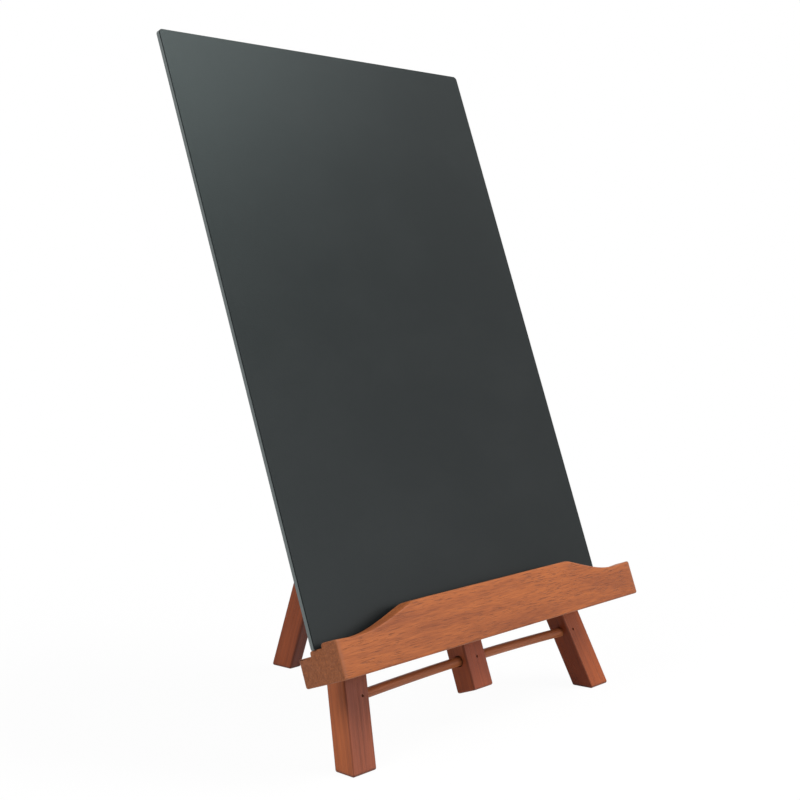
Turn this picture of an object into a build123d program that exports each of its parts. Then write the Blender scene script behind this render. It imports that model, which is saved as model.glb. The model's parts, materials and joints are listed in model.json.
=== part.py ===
from build123d import *
import math
import os

# A tabletop chalkboard: a loose board on a folding wooden easel. Millimetres, +Z up.
# Each piece is drawn in the board's own frame: X to the right, Y back from the writing face,
# Z up the face from the shelf. The whole easel is then leaned back and stood on the table.

# How it stands
lean = 19.7
shelf_height = 81.5
open_angle = 39.0

# Board
board_width = 300.0
board_height = 400.0
core_thickness = 2.5
skin_thickness = 0.7
board_corner_radius = 3.0
board_foot_radius = 1.0
skin_edge_ease = 0.25
board_shift = -12.3

# Ledge: shelf, waved lip in front, lower block behind
ledge_length = 320.0
ledge_shift = -0.8
lip_gap = 4.0
lip_thickness = 13.2
crest_rise = 14.2
crest_half_length = 85.0
crest_radius = 25.0
wave_angle = 16.7
end_rise = 3.0
end_angle = 3.4
end_straight = 0.6
lip_front_round = 1.3
lip_back_round = 2.0
nose_reach = 3.4
nose_radius = 1.8
block_step = 3.3
ledge_drop = 21.5
ledge_round = 1.5

# Front frame: two splayed legs, a centre post and a head rail
frame_gap = 17.0
leg_width = 21.0
leg_depth = 16.0
leg_splay = 11.9
leg_spread = 123.5
leg_arris = 1.5
post_drop = 54.0
rail_height = 25.0
rail_overhang = 3.0
rail_arris = 1.2

# Stretcher: one round rod, bowed up a little where the post holds it
stretcher_diameter = 6.5
stretcher_drop = 34.8
stretcher_bow = 2.0
stretcher_depth_in_leg = 14.0
stretcher_clearance = 0.05
post_hole_diameter = 7.8
post_hole_forward = 0.5

# Rear leg beside the post
rear_leg_width = 12.0
rear_leg_depth = 19.0
rear_leg_head = 13.0
pivot_height = 232.3
head_above_pivot = 17.7
pivot_side_gap = 0.35

# Pivot: bolt, washers and lock nut
bolt_diameter = 5.0
bolt_hole_clearance = 0.1
bolt_running_clearance = 0.06
bolt_head_diameter = 11.0
bolt_head_height = 2.8
bolt_slot_width = 1.2
bolt_slot_depth = 1.2
bolt_past_nut = 1.5
bolt_end_ease = 0.7
washer_diameter = 12.0
washer_thickness = 1.0
pivot_play = 0.05
nut_across_flats = 8.0
nut_height = 4.0
nut_collar_height = 1.5
nut_collar_diameter = 7.4

# Wood screws
screw_diameter = 3.5
screw_head_diameter = 7.0
screw_head_height = 2.6
screw_rim = 0.3
screw_point_length = 5.0
screw_point_flat = 0.1
screw_recess_width = 0.9
screw_recess_span = 4.2
screw_recess_depth = 1.4
screw_clearance = 0.03
screw_sink = 0.2
ledge_screw_length = 30.0
rail_screw_length = 25.0
rail_screw_below_top = 7.0

# Stretcher brads
brad_diameter = 1.3
brad_head_diameter = 1.8
brad_head_height = 0.6
brad_length = 13.0
brad_sink = 1.0
brad_clearance = 0.03
leg_brad_inward = 4.6
post_brad_offset = 1.0

# Places that follow from the sizes above
board_thickness = core_thickness + skin_thickness
lip_front = lip_gap + lip_thickness
nose_y = board_thickness + nose_reach
frame_top = pivot_height + head_above_pivot
rail_bottom = frame_top - rail_height
leg_back = frame_gap + leg_depth
leg_middle = frame_gap + leg_depth / 2
splay_slope = math.tan(math.radians(leg_splay))
leg_level_width = leg_width / math.cos(math.radians(leg_splay))
pivot_y = frame_gap + rear_leg_depth / 2 + pivot_side_gap
rear_leg_x = leg_width / 2 + washer_thickness + pivot_play
rear_leg_outer = rear_leg_x + rear_leg_width
outer_washer_x = rear_leg_outer + pivot_play
nut_x = outer_washer_x + washer_thickness
block_middle = -(block_step + ledge_drop) / 2
rail_screw_z = frame_top - rail_screw_below_top
screw_y = leg_back - screw_sink
far = 4 * board_height
same_place = 0.1


def box_between(low, high):
    """A box from its lowest to its highest corner."""
    size = [top - bottom for bottom, top in zip(low, high)]
    middle = [(top + bottom) / 2 for bottom, top in zip(low, high)]
    return Pos(*middle) * Box(*size)


def leg_centre(z):
    """Half distance between the centre lines of the two front legs at height z."""
    return leg_spread - splay_slope * z - leg_level_width / 2


def long_edges(shape, axis):
    """The edges that run along an axis."""
    return shape.edges().filter_by(axis)


# The easel leans back about the line where the board's face meets the shelf
stand = Pos(0, 0, shelf_height) * Rot(X=-lean)
table = Pos(0, 0, -far / 2) * Box(far, far, far)


def stand_up(shape):
    """Lean a piece back with the easel and lift it over the table."""
    return stand * shape


def finish_leg(leg):
    """Stand a leg up, trim its foot level with the table and round all its arrises."""
    standing = stand_up(leg) - table
    return fillet(standing.edges(), leg_arris)


def drill(standing, holes):
    """Cut holes, drawn in the board's frame, into a piece that already stands."""
    for hole in holes:
        standing -= stand_up(hole)
    return standing


# Board
def board_sheet(front, back):
    """A sheet of the board's outline between two depths."""
    outline = Rectangle(board_width, board_height)
    outline = fillet(outline.vertices().group_by(Axis.Y)[0], board_foot_radius)
    outline = fillet(outline.vertices().group_by(Axis.Y)[-1], board_corner_radius)
    sheet = extrude(Plane.XZ * outline, amount=-(back - front))
    return Pos(board_shift, front, board_height / 2) * sheet


def make_board_core():
    """The grey sheet that gives the board its stiffness."""
    return board_sheet(skin_thickness, board_thickness)


def make_writing_skin():
    """The dark chalk face, a thin sheet bonded to the core, its front arris eased."""
    skin = board_sheet(0, skin_thickness)
    face = skin.faces().sort_by(Axis.Y)[0]
    return chamfer(face.edges(), skin_edge_ease)


# Ledge
def ledge_section():
    """The ledge's end profile, seen from its left end."""
    corners = [
        (-lip_front, -ledge_drop),
        (frame_gap, -ledge_drop),
        (frame_gap, -block_step),
        (nose_y, -block_step),
        (nose_y, 0),
        (-lip_gap, 0),
        (-lip_gap, crest_rise),
        (-lip_front, crest_rise),
    ]
    section = make_face(Plane.YZ * Polyline(*corners, close=True))
    return extrude(section, amount=ledge_length / 2, both=True)


def wave_outline():
    """The front view of the ledge: a level crest, an ogee down to each side, lifted ends."""
    half = ledge_length / 2
    fall = math.tan(math.radians(wave_angle))
    lift = math.tan(math.radians(end_angle))
    reach = (crest_rise - end_rise + fall * crest_half_length + lift * half) / (fall + lift)
    dip = (reach, crest_rise - fall * (reach - crest_half_length))
    end_run = half - reach
    crest_arc = crest_radius * math.tan(math.radians(wave_angle) / 2)
    slope_run = (reach - crest_half_length) / math.cos(math.radians(wave_angle)) - crest_arc
    dip_arc = min(end_run, slope_run) - end_straight
    dip_radius = dip_arc / math.tan(math.radians(wave_angle + end_angle) / 2)
    crest = (crest_half_length, crest_rise)
    end = (half, end_rise)
    left_end = (-half, end_rise)
    left_dip = (-dip[0], dip[1])
    left_crest = (-crest_half_length, crest_rise)
    radii = [dip_radius, crest_radius, crest_radius, dip_radius]
    wave = FilletPolyline(left_end, left_dip, left_crest, crest, dip, end, radius=radii)
    below = -2 * ledge_drop
    sides = Polyline(end, (half, below), (-half, below), left_end)
    return extrude(make_face(Plane.XZ * (wave + sides)), amount=far, both=True)


def lengthwise_edges(shape, y, above=None, z=None):
    """Edges that run along the ledge at depth y, above a height or at a height."""
    picked = shape.edges().filter_by(lambda edge: abs(edge.tangent_at(0.5).X) > 0.5)
    picked = picked.filter_by(lambda edge: abs(edge.center().Y - y) < same_place)
    if above is not None:
        picked = picked.filter_by(lambda edge: edge.center().Z > above)
    if z is not None:
        picked = picked.filter_by(lambda edge: abs(edge.center().Z - z) < same_place)
    return picked


def make_ledge():
    """The moulded ledge: section and wave crossed, arrises rounded, screw holes cut."""
    ledge = Pos(ledge_shift, 0, 0) * (ledge_section() & wave_outline())
    ledge = fillet(lengthwise_edges(ledge, -lip_front, above=end_rise / 2), lip_front_round)
    ledge = fillet(lengthwise_edges(ledge, -lip_gap, above=end_rise / 2), lip_back_round)
    ledge = fillet(lengthwise_edges(ledge, nose_y, z=0), nose_radius)
    lower_front = lengthwise_edges(ledge, -lip_front, z=-ledge_drop)
    lower_back = lengthwise_edges(ledge, frame_gap, z=-ledge_drop)
    ledge = fillet(lower_front + lower_back, ledge_round)
    for screw in screw_places(block_middle):
        ledge -= screw * wood_screw(ledge_screw_length, screw_clearance)
    return ledge


# Front frame
def front_leg(side):
    """A splayed leg, from the table to the top of the frame, drilled for its pins."""
    bar = Box(leg_width, leg_depth, far)
    leg = Pos(side * leg_centre(0), leg_middle, 0) * Rot(Y=-side * leg_splay) * bar
    leg -= box_between((-far, -far, frame_top), (far, far, far))
    ledge_screw = wood_screw(ledge_screw_length, screw_clearance)
    rail_screw = wood_screw(rail_screw_length, screw_clearance)
    holes = [
        stretcher_rod(stretcher_diameter / 2 + stretcher_clearance, stretcher_clearance),
        brad_at(side * leg_brad_offset, brad_clearance),
        Pos(side * leg_centre(block_middle), screw_y, block_middle) * ledge_screw,
        Pos(side * leg_centre(rail_screw_z), screw_y, rail_screw_z) * rail_screw,
    ]
    return drill(finish_leg(leg), holes)


def make_centre_post():
    """The post: square ends, an oversize hole for the rod, holes for bolt, brad and screws."""
    half = leg_width / 2
    post = box_between((-half, frame_gap, -post_drop), (half, leg_back, frame_top))
    post = fillet(post.edges(), leg_arris)
    rod_hole = Cylinder(post_hole_diameter / 2, 2 * leg_width, rotation=(0, 90, 0))
    post -= Pos(0, leg_middle - post_hole_forward, rod_z(0)) * rod_hole
    bolt_hole = Cylinder(bolt_diameter / 2 + bolt_hole_clearance, 2 * leg_width, rotation=(0, 90, 0))
    post -= Pos(0, pivot_y, pivot_height) * bolt_hole
    post -= brad_at(post_brad_offset, brad_clearance)
    post -= Pos(0, screw_y, block_middle) * wood_screw(ledge_screw_length, screw_clearance)
    post -= Pos(0, screw_y, rail_screw_z) * wood_screw(rail_screw_length, screw_clearance)
    return stand_up(post)


def make_head_rail():
    """The rail across the front of the legs, as deep as the gap between frame and board."""
    half = leg_centre(rail_bottom) + leg_level_width / 2 + rail_overhang
    rail = box_between((-half, board_thickness, rail_bottom), (half, frame_gap, frame_top))
    rail = fillet(long_edges(rail, Axis.X), rail_arris)
    for screw in screw_places(rail_screw_z):
        rail -= screw * wood_screw(rail_screw_length, screw_clearance)
    return rail


# Stretcher
rod_end = leg_centre(-stretcher_drop) - leg_level_width / 2 + stretcher_depth_in_leg
leg_brad_offset = leg_centre(-stretcher_drop) - leg_brad_inward
bow_radius = (leg_brad_offset**2 + stretcher_bow**2) / (2 * stretcher_bow)
bow_centre_z = stretcher_bow - stretcher_drop - bow_radius


def rod_z(x):
    """Height of the bowed rod's centre line at x."""
    return bow_centre_z + math.sqrt(bow_radius**2 - x**2)


def stretcher_rod(radius, extra):
    """The rod, or the hole for it: a round bar bent to a very large circle."""
    half_turn = math.degrees(math.asin((rod_end + extra) / bow_radius))
    crown = Plane((0, leg_middle, rod_z(0)), x_dir=(0, 0, 1), z_dir=(1, 0, 0))
    start = crown * Circle(radius)
    axis = Axis((0, leg_middle, bow_centre_z), (0, 1, 0))
    bar = revolve(start, axis, 2 * half_turn)
    return bar.rotate(axis, -half_turn)


def make_stretcher():
    """The rod with the three brad holes through it."""
    rod = stretcher_rod(stretcher_diameter / 2, 0)
    for x in (-leg_brad_offset, post_brad_offset, leg_brad_offset):
        rod -= brad_at(x, brad_clearance)
    return rod


# Rear leg
def make_rear_leg():
    """The rear leg, swung open about the pivot, its head bevelled to bear on the rail.

    Below the pivot's height the corner of the bevel is taken back to a chord of the circle
    that just touches the rail, so that the head turns clear of it.
    """
    half_depth = rear_leg_depth / 2
    low = (rear_leg_x, -half_depth, -far)
    high = (rear_leg_outer, half_depth, rear_leg_head)
    swung = Pos(0, pivot_y, pivot_height) * Rot(X=open_angle)
    leg = swung * box_between(low, high)
    edge_angle = math.degrees(math.acos(half_depth / (half_depth + pivot_side_gap)))
    chord_angle = max(0, open_angle - edge_angle) / 2
    in_front = box_between((-far, -far, -far), (far, 0, far))
    leg -= Pos(0, frame_gap, pivot_height) * in_front
    leg -= Pos(0, frame_gap, pivot_height) * Rot(X=chord_angle) * in_front
    bore = Cylinder(bolt_diameter / 2 + bolt_running_clearance, far, rotation=(0, 90, 0))
    return drill(finish_leg(leg), [swung * bore])


# Pivot pieces
def make_pivot_bolt():
    """The bolt: a slotted round head on the left of the post, shank through post and leg."""
    head_x = -leg_width / 2 - washer_thickness
    tip_x = head_x - bolt_head_height
    end_x = nut_x + nut_height + nut_collar_height + bolt_past_nut
    radius = bolt_diameter / 2
    head = bolt_head_diameter / 2
    dome_radius = (head**2 + bolt_head_height**2) / (2 * bolt_head_height)
    dome = RadiusArc((tip_x, 0), (head_x, head), dome_radius)
    outline = Polyline(
        (head_x, head),
        (head_x, radius),
        (end_x - bolt_end_ease, radius),
        (end_x, radius - bolt_end_ease),
        (end_x, 0),
        (tip_x, 0),
    )
    bolt = revolve(make_face(dome + outline), Axis.X, 360)
    wide = bolt_slot_width / 2
    slot_bottom = tip_x + bolt_slot_depth
    bolt -= box_between((tip_x - bolt_slot_depth, -head, -wide), (slot_bottom, head, wide))
    return Pos(0, pivot_y, pivot_height) * bolt


def make_pivot_washers():
    """Three washers: under the head, between post and leg, and under the nut."""
    ring = Cylinder(washer_diameter / 2, washer_thickness, rotation=(0, 90, 0))
    hole = bolt_diameter / 2 + bolt_hole_clearance
    ring -= Cylinder(hole, 2 * washer_thickness, rotation=(0, 90, 0))
    half = washer_thickness / 2
    stations = (-leg_width / 2 - half, leg_width / 2 + half, outer_washer_x + half)
    return [Pos(x, pivot_y, pivot_height) * ring for x in stations]


def make_lock_nut():
    """A hexagon nut with the round collar of its locking ring."""
    hexagon = RegularPolygon(nut_across_flats / 2, 6, major_radius=False)
    nut = extrude(Plane.YZ.offset(nut_x) * hexagon, amount=nut_height)
    collar = Circle(nut_collar_diameter / 2)
    nut += extrude(Plane.YZ.offset(nut_x + nut_height) * collar, amount=nut_collar_height)
    nut -= Cylinder(bolt_diameter / 2 + screw_clearance, far, rotation=(0, 90, 0))
    return Pos(0, pivot_y, pivot_height) * nut


# Wood screws, driven forwards from the back of the frame
def wood_screw(length, clearance=0.0):
    """A countersunk screw whose head lies at the origin and whose point is towards -Y."""
    shank = screw_diameter / 2 + clearance
    head = screw_head_diameter / 2 + clearance
    straight = length - screw_point_length
    mouth = 0 if clearance == 0 else 2 * screw_sink
    half_outline = Polyline(
        (0, mouth),
        (head, mouth),
        (head, -screw_rim),
        (shank, -screw_head_height),
        (shank, -straight),
        (screw_point_flat, -length - clearance),
        (0, -length - clearance),
        close=True,
    )
    body = revolve(make_face(half_outline), Axis.Y, 360)
    if clearance == 0:
        reach = screw_recess_span / 2
        wide = screw_recess_width / 2
        deep = screw_recess_depth
        body -= box_between((-reach, -deep, -wide), (reach, deep, wide))
        body -= box_between((-wide, -deep, -reach), (wide, deep, reach))
    return body


def screw_places(z):
    """Where the three screws of one height go in: at each leg's and the post's middle."""
    side = leg_centre(z)
    return [Pos(x, screw_y, z) for x in (-side, 0, side)]


def make_screws(z, length):
    """The three screws of one height."""
    return [place * wood_screw(length) for place in screw_places(z)]


# Brads through the rod
def brad_at(x, clearance=0.0):
    """A brad sunk in the front of the frame, through the rod at x; or the hole for it."""
    z = rod_z(x)
    head_y = frame_gap + brad_sink
    shank = Cylinder(brad_diameter / 2 + clearance, brad_length, rotation=(90, 0, 0))
    brad = Pos(x, head_y + brad_length / 2, z) * shank
    mouth = brad_head_height if clearance == 0 else brad_head_height + brad_sink
    head = Cylinder(brad_head_diameter / 2 + clearance, mouth, rotation=(90, 0, 0))
    return brad + Pos(x, head_y + brad_head_height - mouth / 2, z) * head


def make_brads():
    """The three brads."""
    return [brad_at(x) for x in (-leg_brad_offset, post_brad_offset, leg_brad_offset)]


# Build every node, stand it on the table, and centre the whole on the origin
nodes = {
    "board_core": stand_up(make_board_core()),
    "writing_skin": stand_up(make_writing_skin()),
    "ledge": stand_up(make_ledge()),
    "left_leg": front_leg(-1),
    "right_leg": front_leg(1),
    "centre_post": make_centre_post(),
    "head_rail": stand_up(make_head_rail()),
    "stretcher": stand_up(make_stretcher()),
    "rear_leg": make_rear_leg(),
    "pivot_bolt": stand_up(make_pivot_bolt()),
    "pivot_washers": stand_up(Compound(children=make_pivot_washers())),
    "lock_nut": stand_up(make_lock_nut()),
    "ledge_screws": stand_up(Compound(children=make_screws(block_middle, ledge_screw_length))),
    "rail_screws": stand_up(Compound(children=make_screws(rail_screw_z, rail_screw_length))),
    "stretcher_brads": stand_up(Compound(children=make_brads())),
}

boxes = [shape.bounding_box() for shape in nodes.values()]
low_y = min(box.min.Y for box in boxes)
high_y = max(box.max.Y for box in boxes)
low_x = min(box.min.X for box in boxes)
high_x = max(box.max.X for box in boxes)
centring = Pos(-(low_x + high_x) / 2, -(low_y + high_y) / 2, 0)

os.makedirs("parts", exist_ok=True)
for name, shape in nodes.items():
    export_step(centring * shape, f"parts/{name}.step")

pivot = (centring * stand * Pos(0, pivot_y, pivot_height)).position
up_the_board = (math.sin(math.radians(lean)), math.cos(math.radians(lean)))
print("pivot at", [round(value, 3) for value in pivot])
print("up the board, Y and Z:", [round(value, 5) for value in up_the_board])
print("moved by", [round(value, 3) for value in centring.position])
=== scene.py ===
# %% [markdown]
# # A tabletop chalkboard on a folding easel
#
# A thin charcoal board stands loose on the moulded ledge of a small red-brown easel. Two
# splayed legs and a short centre post carry the ledge and a head rail, a thin bowed rod ties
# the legs together, and a narrow rear leg swings out behind to prop it all up.
#
# The CAD model already holds every piece at its real size, so this lesson is about finish.
# Most pieces keep their CAD mesh and get a better material. The ledge, the rod and the wood
# screws follow a rule or repeat, so Geometry Nodes make those again.

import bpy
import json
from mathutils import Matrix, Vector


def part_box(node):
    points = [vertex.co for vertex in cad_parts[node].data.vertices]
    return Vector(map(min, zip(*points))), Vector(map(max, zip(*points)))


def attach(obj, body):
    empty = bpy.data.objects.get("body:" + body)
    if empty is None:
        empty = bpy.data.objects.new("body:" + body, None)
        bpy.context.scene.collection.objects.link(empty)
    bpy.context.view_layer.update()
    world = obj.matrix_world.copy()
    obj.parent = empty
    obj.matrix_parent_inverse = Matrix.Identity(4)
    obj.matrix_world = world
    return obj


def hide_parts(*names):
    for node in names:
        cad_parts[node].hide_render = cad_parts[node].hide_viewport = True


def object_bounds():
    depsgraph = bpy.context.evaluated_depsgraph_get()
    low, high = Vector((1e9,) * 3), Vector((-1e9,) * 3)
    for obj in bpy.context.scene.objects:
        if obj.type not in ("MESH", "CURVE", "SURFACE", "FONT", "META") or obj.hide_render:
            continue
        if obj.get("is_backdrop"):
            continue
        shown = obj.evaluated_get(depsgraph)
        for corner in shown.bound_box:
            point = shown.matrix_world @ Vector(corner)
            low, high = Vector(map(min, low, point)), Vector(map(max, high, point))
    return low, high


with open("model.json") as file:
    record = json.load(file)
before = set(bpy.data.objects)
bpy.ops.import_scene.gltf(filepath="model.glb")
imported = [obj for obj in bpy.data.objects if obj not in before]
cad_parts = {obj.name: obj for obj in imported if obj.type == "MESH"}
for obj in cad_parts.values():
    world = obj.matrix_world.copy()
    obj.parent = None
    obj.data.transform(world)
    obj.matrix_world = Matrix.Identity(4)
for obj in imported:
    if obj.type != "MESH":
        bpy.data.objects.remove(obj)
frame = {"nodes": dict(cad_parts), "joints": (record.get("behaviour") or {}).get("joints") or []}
cad_low, cad_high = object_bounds()

# %% [markdown]
# ## Units and the leaning easel
#
# Blender works in metres, while a joiner thinks in millimetres, so sizes are written as a
# number times `mm`. The whole easel leans back. When the board is lifted it slides straight up
# its own face, so the axis of that joint gives the lean. The pivot of the rear leg then gives
# the line where the board's face meets the shelf, and `stand` turns a drawing made in the
# board's own frame (X right, Y back, Z up the face) into its place in the scene.

# %% Units and the leaning easel
import json
import math

import bmesh
import bpy
import numpy as np
from mathutils import Matrix, Vector

mm = 0.001
pivot_behind_face = 26.85 * mm
pivot_above_shelf = 232.3 * mm

joints = {joint["name"]: joint for joint in frame["joints"]}
up_the_board = Vector(joints["board_lift"]["axis"])
pivot = Vector(joints["rear_leg_fold"]["pos_m"])
lean = math.atan2(up_the_board.y, up_the_board.z)
tilt = Matrix.Rotation(-lean, 4, "X")
shelf_line = pivot - tilt @ Vector((0, pivot_behind_face, pivot_above_shelf))
stand = Matrix.Translation(shelf_line) @ tilt
ledge_low, ledge_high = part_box("ledge")
ledge_middle = (ledge_low[0] + ledge_high[0]) / 2 - shelf_line.x
print(f"the easel leans back {math.degrees(lean):.1f} degrees")

# %% [markdown]
# ## Three helpers for node trees
#
# Shaders and Geometry Nodes are both trees of nodes. Writing one in Python takes the same three
# steps each time: add a node, set its plain values, and link the rest. One helper does all
# three, one does arithmetic, and one makes a reusable group with named sockets.

# %% Helpers for node trees
def put(tree, kind, inputs=None, **settings):
    """Adds a node. Each input is a plain value, or the output of another node."""
    node = tree.nodes.new(kind)
    for name, value in settings.items():
        setattr(node, name, value)
    for name, value in (inputs or {}).items():
        if isinstance(value, bpy.types.NodeSocket):
            tree.links.new(value, node.inputs[name])
        else:
            node.inputs[name].default_value = value
    return node


def maths(tree, operation, *values):
    """One step of arithmetic on numbers."""
    return put(tree, "ShaderNodeMath", dict(enumerate(values)), operation=operation).outputs[0]


def group(kind, name, inputs, outputs):
    """A node group. Inputs give a kind of socket and its value, outputs a kind of socket."""
    tree = bpy.data.node_groups.new(name, kind)
    for label, (socket, value) in inputs.items():
        made = tree.interface.new_socket(label, in_out="INPUT", socket_type="NodeSocket" + socket)
        if value is not None:
            made.default_value = value
    for label, socket in outputs.items():
        tree.interface.new_socket(label, in_out="OUTPUT", socket_type="NodeSocket" + socket)
    given = tree.nodes.new("NodeGroupInput").outputs
    result = tree.nodes.new("NodeGroupOutput").inputs
    return tree, given, result


# %% [markdown]
# ## Patterns that every finish is made from
#
# Wood, paint and steel all need noise at some scale. Scales are given as patches in a metre
# along each axis, so that a value can be checked against a ruler: 1000 patches in a metre
# are 1 mm apart. `fade` turns such noise into a mask with soft edges.

# %% Noise, fades and mixes
def noise(tree, place, patches, detail=2.0, roughness=0.5):
    """Noise from 0 to 1, with so many patches in a metre along X, Y and Z."""
    scaled = put(tree, "ShaderNodeVectorMath", {0: place, 1: patches}, operation="MULTIPLY")
    inputs = {"Vector": scaled.outputs[0], "Scale": 1.0, "Detail": detail, "Roughness": roughness}
    return put(tree, "ShaderNodeTexNoise", inputs).outputs["Fac"]


def fade(tree, value, start, end, low=0.0, high=1.0):
    """Goes smoothly from low to high as the value goes from start to end."""
    inputs = {0: value, 1: start, 2: end, 3: low, 4: high}
    return put(tree, "ShaderNodeMapRange", inputs, interpolation_type="SMOOTHSTEP").outputs[0]


def mix(tree, factor, first, second, mode="MIX"):
    """Mixes two colours."""
    inputs = {0: factor, 6: first, 7: second}
    return put(tree, "ShaderNodeMix", inputs, data_type="RGBA", blend_type=mode).outputs[2]


# %% [markdown]
# ## The stained timber
#
# The easel is made of a fine hardwood with a red-brown stain and a satin lacquer. Close up it
# shows four things: soft bands along the board, fine fibres, short dark pores where the stain
# has settled, and browner, speckled end grain. One group makes all four from a piece's own
# coordinates, in which X runs along the grain. Each piece then gets its own colours, and its
# own number for the plank that it was cut from, so that no two pieces look alike.

# %% The timber group
timber, given, result = group(
    "ShaderNodeTree",
    "Stained timber",
    {
        "Place": ("Vector", None),
        "Facing": ("Vector", None),
        "Plank": ("Float", 0.0),
        "Light": ("Color", (0.44, 0.16, 0.07, 1)),
        "Dark": ("Color", (0.26, 0.09, 0.045, 1)),
        "Pore": ("Color", (0.10, 0.028, 0.012, 1)),
        "End": ("Color", (0.22, 0.095, 0.05, 1)),
        "Side": ("Color", (1, 1, 1, 1)),
        "Slope": ("Float", 0.05),
        "Pores": ("Float", 1.0),
        "Soaked": ("Float", 0.0),
    },
    {"Color": "Color", "Roughness": "Float", "Height": "Float"},
)
along, across, deep = put(timber, "ShaderNodeSeparateXYZ", {0: given["Place"]}).outputs
sloping = maths(timber, "MULTIPLY_ADD", along, given["Slope"], across)
next_plank = (0.37, 0.11, 0.23)
inputs = {0: next_plank, "Scale": given["Plank"]}
shift = put(timber, "ShaderNodeVectorMath", inputs, operation="SCALE").outputs[0]
turned = put(timber, "ShaderNodeCombineXYZ", {0: along, 1: sloping, 2: deep}).outputs[0]
plank = put(timber, "ShaderNodeVectorMath", {0: turned, 1: shift}).outputs[0]

bands = fade(timber, noise(timber, plank, (6, 170, 170), detail=3.0), 0.30, 0.70)
clouds = fade(timber, noise(timber, plank, (12, 40, 40), detail=2.0), 0.3, 0.7)
fibres = noise(timber, plank, (24, 1300, 1300), detail=3.0, roughness=0.6)
dashes = noise(timber, plank, (15, 1700, 1700), detail=1.0, roughness=0.6)
flocks = noise(timber, plank, (12, 130, 130), detail=1.0)
short_dashes = fade(timber, dashes, 0.54, 0.70)
in_flocks = fade(timber, flocks, 0.3, 0.6, 0.35, 1.0)
pores = maths(timber, "MULTIPLY", short_dashes, in_flocks)
pores = maths(timber, "MULTIPLY", pores, given["Pores"])

facing = put(timber, "ShaderNodeSeparateXYZ", {0: given["Facing"]}).outputs
ends = fade(timber, maths(timber, "ABSOLUTE", facing[0]), 0.80, 0.95)
sides = fade(timber, maths(timber, "ABSOLUTE", facing[1]), 0.60, 0.85)
end_noise = noise(timber, plank, (300, 850, 850), detail=2.0)
specks = fade(timber, end_noise, 0.55, 0.66)
pits = fade(timber, end_noise, 0.46, 0.36)
mottle = noise(timber, plank, (60, 420, 420), detail=3.0)

# How strongly each pattern of the long grain shows.
band_share = 0.35
cloud_share = 0.25
streak_share = 0.40
pore_share = 0.46
streaks = fade(timber, fibres, 0.30, 0.70)
band_tone = maths(timber, "MULTIPLY", bands, band_share)
cloud_tone = maths(timber, "MULTIPLY", clouds, cloud_share)
streak_tone = maths(timber, "MULTIPLY", streaks, streak_share)
tone = maths(timber, "ADD", maths(timber, "ADD", band_tone, cloud_tone), streak_tone)
long_grain = mix(timber, tone, given["Light"], given["Dark"])
long_grain = mix(timber, maths(timber, "MULTIPLY", pores, pore_share), long_grain, given["Pore"])
# Side faces take a colour factor that is painted light and shade, lighter or darker by how a lamp would
# reach them.
long_grain = mix(timber, sides, long_grain, mix(timber, 1.0, long_grain, given["Side"], "MULTIPLY"))
long_grain = mix(timber, given["Soaked"], long_grain, given["End"])

# End grain is mottled, with pale specks and dark pits.
mottle_tint = (0.80, 0.76, 0.72, 1)
speck_share = 0.38
pit_share = 0.34
deeper_end = mix(timber, 1.0, given["End"], mottle_tint, "MULTIPLY")
end_grain = mix(timber, fade(timber, mottle, 0.3, 0.7), given["End"], deeper_end)
end_grain = mix(timber, maths(timber, "MULTIPLY", specks, speck_share), end_grain, given["Light"])
end_grain = mix(timber, maths(timber, "MULTIPLY", pits, pit_share), end_grain, given["Pore"])
timber.links.new(mix(timber, ends, long_grain, end_grain), result["Color"])

lacquer_roughness = 0.36
fibre_roughness = 0.16
end_roughness = 0.22
shine = maths(timber, "MULTIPLY_ADD", fibres, fibre_roughness, lacquer_roughness)
shine = maths(timber, "MULTIPLY_ADD", ends, end_roughness, shine)
timber.links.new(shine, result["Roughness"])

pore_height = -0.8
fibre_height = 0.35
speck_height = 0.6
fibre_relief = maths(timber, "MULTIPLY", fibres, fibre_height)
end_specks = maths(timber, "MULTIPLY", ends, specks)
relief = maths(timber, "MULTIPLY_ADD", pores, pore_height, fibre_relief)
relief = maths(timber, "MULTIPLY_ADD", end_specks, speck_height, relief)
timber.links.new(relief, result["Height"])
print("the timber group has", len(timber.nodes), "nodes")

# %% [markdown]
# ## Stain-darkened arrises with a painted highlight
#
# On a stained bar the rounded edges, which joiners call arrises, take a little more stain.
# Their crown is made paler, and that is a painted highlight. Every straight member is a long
# bar, so its arrises are where the width and the depth are both near their limit. That needs
# only the bar's own coordinates and its half sizes, and no ray has to be traced for it.

# %% The arris group
arris, given, result = group(
    "ShaderNodeTree",
    "Bar arris",
    {
        "Place": ("Vector", None),
        "Half Width": ("Float", 10 * mm),
        "Half Depth": ("Float", 7.75 * mm),
        "Reach": ("Float", 2.5 * mm),
    },
    {"Near": "Float", "Painted Highlight": "Float"},
)
along, across, deep = put(arris, "ShaderNodeSeparateXYZ", {0: given["Place"]}).outputs


def closeness(offset, half):
    """1 at a side of the bar, 0 at a reach inside it."""
    inner = maths(arris, "SUBTRACT", half, given["Reach"])
    inputs = {0: maths(arris, "ABSOLUTE", offset), 1: inner, 2: half, 3: 0.0, 4: 1.0}
    return put(arris, "ShaderNodeMapRange", inputs).outputs[0]


near_side = closeness(across, given["Half Width"])
near_face = closeness(deep, given["Half Depth"])
both = maths(arris, "MINIMUM", near_side, near_face)
patchy = noise(arris, given["Place"], (70, 400, 400), detail=2.0)
uneven = fade(arris, patchy, 0.3, 0.6, 0.55, 1.0)
arris.links.new(maths(arris, "MULTIPLY", fade(arris, both, 0.38, 0.72), uneven), result["Near"])
# The crown of an arris is the mask for a painted highlight.
painted_highlight = maths(arris, "MULTIPLY", fade(arris, both, 0.7, 0.95), fade(arris, patchy, 0.58, 0.70))
arris.links.new(painted_highlight, result["Painted Highlight"])
print("the arris group has", len(arris.nodes), "nodes")

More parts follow.
